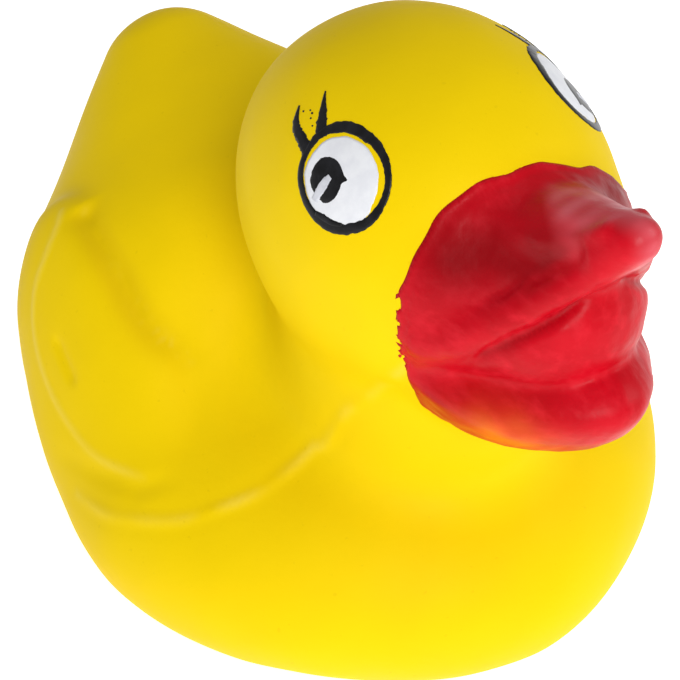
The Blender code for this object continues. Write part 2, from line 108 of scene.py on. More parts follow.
class BallPair:
    """Two round balls and the cone between them, all widened along X."""

    def __init__(self, start, end, start_radius, end_radius, widening=1.0):
        self.widen = np.array([widening, 1.0, 1.0])
        self.start = np.array(start, float) / self.widen
        self.end = np.array(end, float) / self.widen
        self.start_radius = start_radius
        self.end_radius = end_radius

    def distance(self, points):
        run = self.end - self.start
        length = np.linalg.norm(run)
        offset = points / self.widen - self.start
        along = offset @ run / length
        across = np.linalg.norm(offset - along[:, None] * run / length, axis=1)
        sine = (self.start_radius - self.end_radius) / length
        cosine = math.sqrt(1 - sine**2)
        reach = along * cosine - across * sine
        side = across * cosine + along * sine - self.start_radius
        start = np.hypot(across, along) - self.start_radius
        end = np.hypot(across, along - length) - self.end_radius
        return np.where(reach < 0, start, np.where(reach > cosine * length, end, side))

    def seed(self, bm):
        """Adds the hull of both balls."""
        ball = bmesh.new()
        made = bmesh.ops.create_icosphere(ball, subdivisions=3, radius=1.0)["verts"]
        round_all = np.array([v.co for v in made])
        ball.free()
        made = []
        for centre, radius in ((self.start, self.start_radius), (self.end, self.end_radius)):
            for place in (centre + radius * round_all) * self.widen:
                made.append(bm.verts.new(place))
        bmesh.ops.convex_hull(bm, input=made)
        inner = [v for v in made if v.is_valid and not v.link_faces]
        bmesh.ops.delete(bm, geom=inner, context="VERTS")


HULL = Ball((0, -6.4, 24.63), (43.9, 45.4, 23.3), plan_power=1.75, back=51.1)
TAIL = BallPair((0, 18.9, 34.83), (0, 42.4, 60.75), 32.0, 9.3, 1.17)
WING = Ball((31.8, 8.8, 37.6), (6.9, 28, 14.2), turn(43.2, -21.5, 11.1))
NECK = Ball((0, -20.5, 50.5), (18.5, 20.5, 15))
HEAD = Ball((0, -20.5, 74.5), (22.6, 28.2, 25.3))
BILL_ROOT = Ball((0, -37, 77), (16.4, 13.5, 12.8))
CORNER = Ball((0, -38, 72.3), (15.2, 13.5, 5))
BEAK = BallPair((0, -45.5, 83.2), (0, -60.3, 93.5), 7.8, 2.2, 1.08)
WEB = Ball((0, -42, 75.3), (12.6, 15.8, 13), turn(-12))
JAW = Ball((0, -42.4, 62.75), (13.2, 20, 9.4), turn(-16.4), 1.7)
CHIN = Ball((0, -40, 65.2), (15, 15.5, 4))
LIP_POINTS = [
    (14.2, -40.9, 72.7),
    (12.8, -44.3, 74.4),
    (10.8, -47.5, 77.4),
    (8.4, -50.7, 80.8),
    (5.8, -53.9, 84.7),
    (3.0, -56.7, 88.8),
    (0.6, -59.1, 92.1),
]
LIP_RADIUS = 1.8
LIPS = [BallPair(a, b, LIP_RADIUS, LIP_RADIUS) for a, b in zip(LIP_POINTS, LIP_POINTS[1:])]
BILL_FORMS = [NECK, HEAD, BILL_ROOT, CORNER, BEAK, WEB, JAW, CHIN, *LIPS]
FLOOR = 3.85

TAIL_BLEND = 9.0
WING_BLEND = 3.0
NECK_BLEND = 8.0
HEAD_BLEND = 6.0
BILL_BLEND = 2.5
FLOOR_BLEND = 3.0
BEAK_BLEND = 4.0
CORNER_BLEND = 3.0
LIP_BLEND = 2.5
CHIN_BLEND = 3.0
MOUTH_BLEND = 1.5


def blend(first, second, radius):
    """The smaller of two distances, rounded where they meet."""
    share = np.clip(0.5 + 0.5 * (second - first) / radius, 0, 1)
    return second + (first - second) * share - radius * share * (1 - share)


def mirrored(points):
    """The points folded onto the duck's left side."""
    left = points.copy()
    left[:, 0] = np.abs(left[:, 0])
    return left


def bill_distance(left):
    upper = blend(BILL_ROOT.distance(left), BEAK.distance(left), BEAK_BLEND)
    upper = blend(upper, CORNER.distance(left), CORNER_BLEND)
    rim = np.min([lip.distance(left) for lip in LIPS], axis=0)
    upper = blend(upper, rim, LIP_BLEND)
    lower = blend(JAW.distance(left), CHIN.distance(left), CHIN_BLEND)
    return blend(blend(upper, WEB.distance(left), MOUTH_BLEND), lower, MOUTH_BLEND)


def duck(points):
    """Signed distance to the plain duck."""
    left = mirrored(points)
    body = blend(HULL.distance(left), TAIL.distance(left), TAIL_BLEND)
    body = blend(body, WING.distance(left), WING_BLEND)
    body = blend(body, NECK.distance(left), NECK_BLEND)
    body = blend(body, HEAD.distance(left), HEAD_BLEND)
    body = blend(body, bill_distance(left), BILL_BLEND)
    return -blend(-body, points[:, 2] - FLOOR, FLOOR_BLEND)


SLOPE_STEP = 0.05
LEAST_SLOPE_SQUARED = 0.2


def slope_of(points, value, rule=duck):
    """How fast a field rises along each axis, from its value at the points."""
    ahead = [rule(points + axis) for axis in np.eye(3) * SLOPE_STEP]
    return (np.array(ahead).T - value[:, None]) / SLOPE_STEP


def onto_duck(points):
    """One step of the points towards the duck's surface."""
    value = duck(points)
    slope = slope_of(points, value)
    return points - slope * (value / np.maximum((slope**2).sum(1), LEAST_SLOPE_SQUARED))[:, None]


def normals_of(points):
    slope = slope_of(points, duck(points))
    return slope / np.maximum(np.linalg.norm(slope, axis=1), 1e-6)[:, None]


# Details of the casting, as lines on the duck's left side and heights over the plain duck.

WING_GROOVE = [
    (26.4, 24.3, 58.2),
    (27.8, 17.9, 57.5),
    (28.3, 12.5, 56.0),
    (28.7, 7.3, 53.5),
    (28.0, 2.2, 50.9),
    (26.2, -0.7, 49.5),
    (25.4, -3.6, 47.4),
]
WING_RIM = [
    (27.9, 26.9, 57.0),
    (29.9, 24.7, 55.9),
    (33.5, 23.5, 51.8),
    (35.6, 23.2, 48.3),
    (37.9, 20.3, 43.4),
    (39.6, 13.7, 38.9),
    (40.0, 6.0, 36.8),
    (39.7, -0.5, 35.7),
    (36.6, -9.5, 37.2),
]
WING_DENT = [(37.1, 15.2, 45.6), (37.5, 11.8, 43.9), (37.9, 8.3, 42.1)]
WING_FOOT = [(40.0, 9.9, 30.9), (39.6, -0.8, 33.5), (37.7, -8.6, 35.3), (32.8, -13.6, 38.4)]
PARTING = [
    (41.8, 0.8, 29.5),
    (41.1, -6.6, 30.8),
    (38.7, -12.6, 33.2),
    (35.8, -17.0, 35.1),
    (33.1, -19.1, 36.8),
    (28.0, -22.1, 39.2),
    (22.5, -22.6, 41.5),
    (17.5, -22.6, 43.0),
    (14.6, -23.6, 46.0),
    (13.8, -25.5, 50.5),
    (14.6, -29.0, 56.0),
    (15.6, -34.0, 62.0),
    (15.8, -38.5, 67.5),
]
TOP_EDGE = [
    (7.2, -48.0, 89.0),
    (6.4, -51.7, 89.9),
    (5.3, -53.8, 91.3),
    (3.8, -56.3, 93.1),
    (1.9, -58.6, 94.9),
]
CHANNEL = [(9.6, -46.0, 87.2), (7.6, -50.9, 87.4), (6.1, -54.0, 89.0), (4.2, -57.0, 91.2)]
# Line along the bill's side where shade is painted into the beak's colour.
SHADOW_SIDE = [(12.5, -43.0, 85.0), (9.6, -46.2, 86.6), (8.4, -49.0, 86.6), (6.6, -53.0, 88.6)]

# Depths, heights and widths of the relief, in millimetres.

GROOVE_DEPTH = 1.35
GROOVE_WIDTH = 3.9
GROOVE_NARROWING = 1.7
RIM_HEIGHT = 0.17
RIM_WIDTH = 0.45
DENT_DEPTH = 0.45
DENT_WIDTH = 0.8
FOOT_DEPTH = 0.5
FOOT_WIDTH = 1.5
PARTING_HEIGHT = 0.19
PARTING_WIDTH = 0.6
LIP_HEIGHT = 0.35
LIP_WIDTH = 1.7
CREASE_DEPTH = 0.9
CREASE_PLACE = 2.9
CREASE_WIDTH = 0.8
TOP_EDGE_HEIGHT = 0.55
TOP_EDGE_WIDTH = 1.0
CHANNEL_DEPTH = 1.1
CHANNEL_WIDTH = 2.2
PAINT_SINK = 1.5
PAINT_LOWEST = -1.1
PAINT_THICKNESS = 0.35
PAINT_RIM_HEIGHT = 0.03


def laid(line):
    """A line with its corners rounded, laid on the duck."""
    points = np.array(line, float)
    for _ in range(3):
        early = 0.75 * points[:-1] + 0.25 * points[1:]
        late = 0.25 * points[:-1] + 0.75 * points[1:]
        cut = np.stack([early, late], 1).reshape(-1, 3)
        points = np.concatenate([points[:1], cut, points[-1:]])
    for _ in range(6):
        points = onto_duck(points)
    return points


def near_line(points, line):
    """Distance to a polyline, and how far along it the nearest point is, from 0 to 1."""
    best = np.full(len(points), 1e9)
    share = np.zeros(len(points))
    line = np.array(line)
    for number, (start, end) in enumerate(zip(line, line[1:])):
        run = end - start
        along = np.clip((points - start) @ run / (run @ run), 0, 1)
        gap = np.linalg.norm(points - start - along[:, None] * run, axis=1)
        closer = gap < best
        best = np.where(closer, gap, best)
        share = np.where(closer, (number + along) / (len(line) - 1), share)
    return best, share


def waves(points, length, seed):
    """Soft uneven waves between about -1 and 1 with about this wavelength."""
    source = np.random.RandomState(seed)
    total = np.zeros(len(points))
    for _ in range(9):
        way = source.normal(size=3)
        way *= 2 * math.pi / (length * source.uniform(0.7, 1.5) * np.linalg.norm(way))
        total += np.sin(points @ way + source.uniform(0, 6.28))
    return total / 3.2


def smooth(low, high, value):
    """A soft rise from 0 at low to 1 at high."""
    share = np.clip((value - low) / (high - low), 0, 1)
    return share * share * (3 - 2 * share)


def bump(gap, width):
    """A soft hill, 1 where the gap is 0."""
    return np.exp(-((gap / width) ** 2))


def ends(share, start, finish):
    """1 along a line, fading in up to start and out past finish."""
    return smooth(0.0, start, share) * smooth(1.0, finish, share)


WING_GROOVE, WING_RIM, WING_DENT = laid(WING_GROOVE), laid(WING_RIM), laid(WING_DENT)
PARTING = laid(PARTING)


def groove_fade(share):
    """The groove is deepest at its top and dies out towards the breast."""
    return smooth(-0.02, 0.12, share) * smooth(1.02, 0.4, share)


def plain_relief(points):
    """Heights of the casting's details over the plain duck."""
    left = mirrored(points)
    height = 0.16 * waves(points, 26.0, 3) + 0.05 * waves(points, 9.0, 4)
    gap, share = near_line(left, WING_GROOVE)
    on_wing = smooth(1.0, -1.0, WING.distance(left) - HULL.distance(left))
    fade = groove_fade(share)
    height -= GROOVE_DEPTH * fade * bump(gap, GROOVE_WIDTH - GROOVE_NARROWING * on_wing)
    height += 0.09 * fade * bump(gap, 0.8) * waves(points, 1.5, 7)
    gap, share = near_line(left, WING_RIM)
    height += RIM_HEIGHT * ends(share, 0.08, 0.85) * bump(gap, RIM_WIDTH)
    gap, share = near_line(left, WING_DENT)
    height -= DENT_DEPTH * ends(share, 0.3, 0.7) * bump(gap, DENT_WIDTH)
    gap, share = near_line(left, WING_FOOT)
    height -= FOOT_DEPTH * ends(share, 0.2, 0.75) * bump(gap, FOOT_WIDTH)
    gap, share = near_line(left, PARTING)
    ridge = PARTING_HEIGHT + 0.05 * waves(points, 5.0, 6)
    height += ridge * ends(share, 0.1, 0.6) * bump(gap, PARTING_WIDTH)
    height -= 0.06 * bump(gap - 1.5, 0.9)
    return height * smooth(FLOOR, FLOOR + 4.0, points[:, 2])


def paint_edge(points):
    """How far a point is inside the red paint, in millimetres along Y and Z."""
    x, z = np.abs(points[:, 0]), points[:, 2]
    crown = smooth(82, 91, z) * smooth(11, 2, x)
    edge = -38.85 - 1.7 * crown + 2.0 * smooth(64, 57, z)
    edge = edge - 2.3 * smooth(1.0, 7.0, points[:, 0]) * smooth(78, 85, z)
    edge = edge + 0.22 * waves(points, 5.0, 21)
    ragged = smooth(66, 69, z) * smooth(81, 77, z) * smooth(9, 13, x)
    edge = edge + ragged * (0.35 + 0.5 * waves(points, 1.1, 22) + 0.3 * waves(points, 0.5, 23))
    inside = np.minimum(edge - points[:, 1], z - 54.0)
    on_jaw = 0.7 - bill_distance(mirrored(points)) + 6.0 * smooth(58, 64, z)
    return np.minimum(inside, on_jaw)


def body_relief(points):
    """The skin with its paint on it: under the red paint it lies deeper."""
    return plain_relief(points) - PAINT_SINK * smooth(0.4, 2.2, paint_edge(points))


def beak_relief(points):
    """Heights of the beak's brush marks, lip, crease, top edge and channel."""
    left = mirrored(points)
    height = 0.05 * waves(points * (1, 0.45, 1), 3.2, 11) + 0.015 * waves(points, 1.3, 12)
    below = smooth(0.8, 0.0, WEB.distance(left))
    gap, share = near_line(left, LIP_POINTS)
    height += LIP_HEIGHT * bump(gap, LIP_WIDTH) * smooth(0.0, 0.2, share)
    height += 0.04 * bump(gap - 2.6, 0.6) * waves(points, 1.6, 13) * below
    height -= CREASE_DEPTH * bump(gap - CREASE_PLACE, CREASE_WIDTH) * below
    gap, share = near_line(left, TOP_EDGE)
    height += TOP_EDGE_HEIGHT * ends(share, 0.15, 0.9) * bump(gap, TOP_EDGE_WIDTH)
    gap, share = near_line(left, CHANNEL)
    fade = smooth(-0.1, 0.2, share) * smooth(1.05, 0.8, share)
    return height - CHANNEL_DEPTH * fade * bump(gap, CHANNEL_WIDTH)


# Meshes.


def link(name, points, faces):
    """An object in the row's frame from points in the fit's."""
    row = (points + TO_ROW) * TO_METRES
    mesh = bpy.data.meshes.new(name)
    mesh.from_pydata(row.tolist(), [], faces)
    mesh.validate()
    mesh.shade_smooth()
    obj = bpy.data.objects.new(name, mesh)
    bpy.context.scene.collection.objects.link(obj)
    return obj


def get_points(mesh):
    flat = np.empty(len(mesh.vertices) * 3)
    mesh.vertices.foreach_get("co", flat)
    return flat.reshape(-1, 3)


def one_skin(forms, voxel):
    """Points, edges and faces of the remeshed forms, mirrored."""
    bm = bmesh.new()
    for form in forms:
        form.seed(bm)
    bmesh.ops.recalc_face_normals(bm, faces=bm.faces)
    mesh = bpy.data.meshes.new("seed")
    bm.to_mesh(mesh)
    bm.free()
    obj = bpy.data.objects.new("seed", mesh)
    bpy.context.scene.collection.objects.link(obj)
    both = obj.modifiers.new("both", "MIRROR")
    both.use_mirror_merge = False
    remesh = obj.modifiers.new("skin", "REMESH")
    remesh.mode = "VOXEL"
    remesh.voxel_size = voxel
    graph = bpy.context.evaluated_depsgraph_get()
    made = bpy.data.meshes.new_from_object(obj.evaluated_get(graph))
    points = get_points(made)
    edges = np.empty(len(made.edges) * 2, int)
    made.edges.foreach_get("vertices", edges)
    faces = [tuple(face.vertices) for face in made.polygons]
    bpy.data.objects.remove(obj, do_unlink=True)
    bpy.data.meshes.remove(made)
    return points, edges.reshape(-1, 2), faces


def settle(points, edges, rounds, smoothing):
    """Evens the points out and brings them onto the duck's surface."""
    one, other = edges.T
    count = np.maximum(np.bincount(edges.ravel(), minlength=len(points)), 1)[:, None]
    for number in range(rounds):
        if number < smoothing:
            around = np.zeros_like(points)
            for axis in range(3):
                around[:, axis] += np.bincount(one, points[other, axis], len(points))
                around[:, axis] += np.bincount(other, points[one, axis], len(points))
            points = 0.5 * points + 0.5 * around / count
        points = onto_duck(points)
    low = points[:, 2] < FLOOR + 0.12
    points[low, 2] = FLOOR
    return points


def open_sides(faces):
    """The directed edges that no other face shares."""
    sides = {pair: True for face in faces for pair in zip(face, face[1:] + face[:1])}
    return [pair for pair in sides if pair[::-1] not in sides]


def used_only(points, faces):
    """The points that faces use, the faces with their new numbers, and the old numbers."""
    used = np.unique([corner for face in faces for corner in face])
    index = np.full(len(points), -1)
    index[used] = np.arange(len(used))
    return points[used], [tuple(int(index[corner]) for corner in face) for face in faces], used


def closed_film(points, faces, top, bottom):
    """A thin closed sheet on the surface, top and bottom being heights at each point."""
    outward = normals_of(points)
    upper = points + outward * np.broadcast_to(top, len(points))[:, None]
    lower = points + outward * np.broadcast_to(bottom, len(points))[:, None]
    count = len(points)
    under = [tuple(count + corner for corner in reversed(face)) for face in faces]
    wall = [(b, a, a + count, b + count) for a, b in open_sides(faces)]
    return np.concatenate([upper, lower]), list(faces) + under + wall


def join_parts(parts):
    """Several pairs of points and faces as one."""
    points, faces, start = [], [], 0
    for part_points, part_faces in parts:
        points.append(part_points)
        faces += [tuple(corner + start for corner in face) for face in part_faces]
        start += len(part_points)
    return np.concatenate(points), faces


# Body, with the stepped pocket in its base in which the squeaker sits.

POCKET = [(8.3, -1), (8.3, 2.1), (6.3, 2.1), (6.3, 4.7), (7.6, 4.7), (7.6, 15.0)]
POCKET_SIDES = 96


def body_skin():
    points, edges, faces = one_skin([HULL, TAIL, WING, *BILL_FORMS], BODY_VOXEL)
    points = settle(points, edges, 9, 5)
    points = points + normals_of(points) * body_relief(points)[:, None]
    points[:, 2] = np.maximum(points[:, 2], FLOOR)
    return points, faces


def turned_cutter(profile):
    """A solid of revolution about the squeaker's axis from radii and heights, for cutting only."""
    bm = bmesh.new()
    middle = TO_ROW[1] + HULL.centre[1]
    rings = []
    for radius, height in profile:
        ring = []
        for number in range(POCKET_SIDES):
            angle = 2 * math.pi * number / POCKET_SIDES
            place = (radius * math.cos(angle), middle + radius * math.sin(angle), height)
            ring.append(bm.verts.new(Vector(place) * TO_METRES))
        rings.append(ring)
    for low, high in zip(rings, rings[1:]):
        for number in range(POCKET_SIDES):
            after = (number + 1) % POCKET_SIDES
            bm.faces.new((low[number], low[after], high[after], high[number]))
    bm.faces.new(list(reversed(rings[0])))
    bm.faces.new(rings[-1])
    mesh = bpy.data.meshes.new("pocket")
    bm.to_mesh(mesh)
    bm.free()
    obj = bpy.data.objects.new("pocket", mesh)
    bpy.context.scene.collection.objects.link(obj)
    return obj


def cut_pocket(body):
    cutter = turned_cutter(POCKET)
    change = body.modifiers.new("pocket", "BOOLEAN")
    change.operation = "DIFFERENCE"
    change.solver = "EXACT"
    change.object = cutter
    graph = bpy.context.evaluated_depsgraph_get()
    made = bpy.data.meshes.new_from_object(body.evaluated_get(graph))
    body.modifiers.clear()
    body.data = made
    bpy.data.objects.remove(cutter, do_unlink=True)


body = link("duck_skin", *body_skin())
cut_pocket(body)

# Beak paint.


def beak_sheet():
    """The painted part of the bill's surface, its rim drawn onto the paint's edge."""
    points, edges, faces = one_skin(BILL_FORMS, BEAK_VOXEL)
    points = settle(points, edges, 3, 2)
    near = paint_edge(points) > -2.5
    faces = [face for face in faces if all(near[corner] for corner in face)]
    points, faces, _ = used_only(points, faces)
    pairs = {tuple(sorted(pair)) for face in faces for pair in zip(face, face[1:] + face[:1])}
    points = settle(points, np.array(sorted(pairs)), 7, 3)
    inside = paint_edge(points) > 0
    faces = [face for face in faces if sum(inside[corner] for corner in face) >= 3]
    rim = np.unique([corner for pair in open_sides(faces) for corner in pair])
    for _ in range(4):
        gap = paint_edge(points[rim])
        rise = slope_of(points[rim], gap, paint_edge)
        move = np.where(np.abs(gap) < 0.9, 0.7 * gap / np.maximum((rise**2).sum(1), 0.5), 0)
        points[rim] -= rise * move[:, None]
        points[rim] = onto_duck(points[rim])
    on_rim = np.zeros(len(points), bool)
    on_rim[rim] = True
    points, faces, used = used_only(points, faces)
    return points, faces, on_rim[used]


def beak_film():
    points, faces, on_rim = beak_sheet()
    depth = np.clip(paint_edge(points), 0, 3)
    skin = plain_relief(points)
    top = skin + 0.10 + 0.10 * bump(depth - 0.4, 0.5)
    top = top + smooth(0.5, 2.2, depth) * np.maximum(0.2 + beak_relief(points), PAINT_LOWEST)
    top = np.where(on_rim, skin + PAINT_RIM_HEIGHT, top)
    return closed_film(points, faces, top, top - PAINT_THICKNESS)


beak = link("beak_paint", *beak_film())

# Eyes, in millimetres forward and up from the eye's middle on the tangent plane.

EYE = np.array([-17.2, -27.7, 89.6])
EYE_OUT = np.array([-0.80, -0.215, 0.56])
EYE_OUT = EYE_OUT / np.linalg.norm(EYE_OUT)
EYE_UP = np.array([0, 0, 1]) - EYE_OUT[2] * EYE_OUT
EYE_UP = EYE_UP / np.linalg.norm(EYE_UP)
EYE_FORWARD = np.cross(EYE_UP, EYE_OUT)

# The left eye is painted nearer the middle, further forward and higher, and its pupil sits elsewhere.

LEFT_EYE_SHIFT = (2.7, -2.3, 2.2)
LEFT_WHITE_MOVE = (0.5, 0.9)
LEFT_PUPIL_MOVE = (2.9, -0.3)
NO_MOVE = (0, 0)

# Outlines have two numbers a corner. Strokes have a third, their width there.

RING = [
    (-6.64, -2.35, 0.95),
    (-6.95, 0.61, 0.85),
    (-6.04, 3.32, 1.1),
    (-3.3, 5.27, 1.45),
    (0.58, 5.32, 1.3),
    (3.38, 4.13, 1.0),
    (5.11, 2.09, 0.85),
    (5.69, -0.4, 0.9),
    (4.92, -3.3, 1.15),
    (2.41, -5.55, 1.3),
    (-0.9, -6.3, 1.15),
    (-4.4, -5.0, 1.0),
]
WHITE = [
    (-5.98, -2.3),
    (-6.19, -0.1),
    (-5.41, 2.18),
    (-3.12, 4.11),
    (0.3, 4.37),
    (2.6, 3.28),
    (4.1, 1.46),
    (4.6, -1.3),
    (4.05, -3.7),
    (2.2, -5.2),
    (-0.73, -5.8),
    (-3.74, -4.85),
]
PUPIL = [
    (-5.2, -2.02),
    (-5.34, -0.4),
    (-4.69, 0.9),
    (-3.74, 1.54),
    (-2.22, 1.63),
    (-0.97, 0.98),
    (-0.17, 0.28),
    (0.55, -0.1),
    (-0.05, -0.79),
    (-0.05, -1.6),
    (-0.15, -2.3),
    (-0.45, -3.16),
    (-1.03, -3.81),
    (-1.76, -4.24),
    (-2.6, -4.1),
    (-3.55, -3.81),
    (-4.55, -3.05),
]
HIGHLIGHT = [(-2.2, -0.75, 0.85), (-2.55, -1.6, 1.3), (-2.95, -2.9, 1.4), (-3.3, -4.2, 1.0)]
LASHES = [
    [
        (-6.9, 0.6, 1.2),
        (-8.1, 1.3, 1.25),
        (-9.5, 2.0, 1.15),
        (-10.7, 2.9, 0.85),
        (-11.2, 4.0, 0.5),
        (-11.55, 4.95, 0.2),
    ],
    [(-6.0, 2.9, 1.3), (-6.7, 4.3, 1.2), (-7.4, 5.6, 0.9), (-8.2, 6.9, 0.45), (-8.8, 7.9, 0.12)],
]
LASH_WIDENING = 1.3
FLICK = [(-2.6, -5.6, 0.7), (-1.2, -5.65, 0.9), (0.2, -5.7, 0.8), (1.5, -5.4, 0.5)]

# Paint dots beside the lashes: place and radius.

DOTS = [
    (-10.4, 4.6, 0.16),
    (-9.4, 5.1, 0.14),
    (-8.9, 4.9, 0.18),
    (-8.7, 4.3, 0.15),
    (-7.9, 3.6, 0.14),
]


def between(a, b, c, d, t):
    """The point a share t of the way from b to c on the smooth curve through all four."""
    return 0.5 * (
        2 * b
        + (c - a) * t
        + (2 * a - 5 * b + 4 * c - d) * t**2
        + (3 * b - a - 3 * c + d) * t**3
    )


def closed_curve(corners, steps):
    """Points on a smooth loop through the corners."""
    corners = np.array(corners, float)
    count = len(corners)
    made = []
    for number in range(count):
        a, b, c, d = (corners[(number + k) % count] for k in (-1, 0, 1, 2))
        for t in np.arange(steps) / steps:
            made.append(between(a, b, c, d, t))
    return np.array(made)


def open_curve(corners, steps):
    """Points on a smooth line through the corners."""
    corners = np.array(corners, float)
    corners = np.concatenate([[2 * corners[0] - corners[1]], corners, [2 * corners[-1] - corners[-2]]])
    made = []
    for a, b, c, d in zip(corners, corners[1:], corners[2:], corners[3:]):
        for t in np.arange(steps) / steps:
            made.append(between(a, b, c, d, t))
    made.append(corners[-2])
    return np.array(made)


def lift(flat, shift):
    """Points of the tangent plane, brought onto the head along the eye's outward axis."""
    points = EYE + shift + flat[:, :1] * EYE_FORWARD + flat[:, 1:2] * EYE_UP
    for _ in range(12):
        points = points - duck(points)[:, None] * EYE_OUT
    return points


def blob(outline, rings, wobble, seed):
    """Flat filled patch: its outline shrunk towards its middle in rings.

    Like a stroke, it is flat points, faces, and how far in from the edge each point is, up to 1.
    """
    source = np.random.RandomState(seed)
    outline = closed_curve(outline, 10)
    count = len(outline)
    noise = source.normal(size=count)
    noise = (noise + np.roll(noise, 1) + np.roll(noise, -1)) / 3
    middle = outline.mean(axis=0)
    outline = middle + (outline - middle) * (1 + wobble * noise)[:, None]
    shares = 1 - (np.arange(rings) / rings) ** 1.3
    flat = np.concatenate([middle + (outline - middle) * share for share in shares] + [[middle]])
    faces = []
    for ring in range(rings - 1):
        for number in range(count):
            after = (number + 1) % count
            start, inner = ring * count, (ring + 1) * count
            faces.append((start + number, start + after, inner + after, inner + number))
    last = (rings - 1) * count
    for number in range(count):
        faces.append((last + number, last + (number + 1) % count, rings * count))
    edge = np.concatenate([np.full(count, 1 - share) for share in shares] + [[1.0]])
    return flat, faces, edge


def stroke(line, width_at, closed, wobble, seed):
    """Flat brush stroke of changing width along a line."""
    source = np.random.RandomState(seed)
    rows = closed_curve(line, 12) if closed else open_curve(line, 10)
    count = len(rows)
    if closed:
        run = np.roll(rows, -1, axis=0) - np.roll(rows, 1, axis=0)
    else:
        run = np.gradient(rows, axis=0)
    side = np.stack([-run[:, 1], run[:, 0]], 1)
    side /= np.maximum(np.linalg.norm(side, axis=1), 1e-6)[:, None]
    across = np.array([-1, -0.82, -0.4, 0, 0.4, 0.82, 1])
    flat = []
    for place in across:
        noise = source.normal(size=count)
        noise = (noise + np.roll(noise, 1)) / 2
        width = rows[:, 2] * 0.5 * width_at * (place + wobble * noise * abs(place))
        flat.append(rows[:, :2] + side * width[:, None])
    flat = np.concatenate(flat)
    faces = []
    for lane in range(len(across) - 1):
        for number in range(count if closed else count - 1):
            after = (number + 1) % count
            start, beyond = lane * count, (lane + 1) * count
            faces.append((start + number, start + after, beyond + after, beyond + number))
    edge = np.repeat(1 - np.abs(across), count)
    return flat, faces, edge


def eye_part(shape, height, left_move):
    """One film of an eye on both sides of the head."""
    flat, faces, edge = shape
    sides = []
    for side, shift, move in ((1, (0, 0, 0), (0, 0)), (-1, LEFT_EYE_SHIFT, left_move)):
        points = lift(flat + move, np.array(shift))
        rise = body_relief(points * (side, 1, 1))
        top = rise + height * (0.35 + 0.65 * smooth(0.0, 0.25, edge))
        film, film_faces = closed_film(points, faces, top, rise - 0.25)
        if side < 0:
            film_faces = [face[::-1] for face in film_faces]
        sides.append((film * (side, 1, 1), film_faces))
    return join_parts(sides)


def eye_object(name, shapes):
    return link(name, *join_parts([eye_part(*shape) for shape in shapes]))


def dot(x, y, radius):
    angles = np.arange(6) * 1.047
    corners = [(x + radius * math.cos(a), y + radius * 0.8 * math.sin(a)) for a in angles]
    return blob(corners, 3, 0.1, 60)


eye_white = eye_object("eye_white_paint", [(blob(WHITE, 10, 0.012, 51), 0.07, LEFT_WHITE_MOVE)])
eye_black = eye_object(
    "eye_black_paint",
    [
        (stroke(RING, 1.0, True, 0.10, 52), 0.11, NO_MOVE),
        (blob(PUPIL, 9, 0.012, 53), 0.12, LEFT_PUPIL_MOVE),
        (stroke(LASHES[0], LASH_WIDENING, False, 0.12, 54), 0.10, NO_MOVE),
        (stroke(LASHES[1], LASH_WIDENING, False, 0.12, 55), 0.10, NO_MOVE),
        (stroke(FLICK, 1.0, False, 0.1, 56), 0.115, NO_MOVE),
        *[(dot(*place), 0.06, NO_MOVE) for place in DOTS],
    ],
)
eye_glint = eye_object(
    "eye_glint_paint", [(stroke(HIGHLIGHT, 1.0, False, 0.08, 57), 0.17, LEFT_PUPIL_MOVE)]
)


# Materials.


def field(obj, name, values):
    """A number for each point of a mesh that its material reads."""
    made = obj.data.attributes.new(name, "FLOAT", "POINT")
    made.data.foreach_set("value", np.asarray(values, np.float32))


def back_to_fit(obj):
    """A mesh's points in the fit's frame."""
    return get_points(obj.data) * TO_MILLIMETRES - TO_ROW


# The colour sockets of a Mix node come after its float and vector ones.

MIX_FIRST, MIX_SECOND, MIX_RESULT = 6, 7, 2


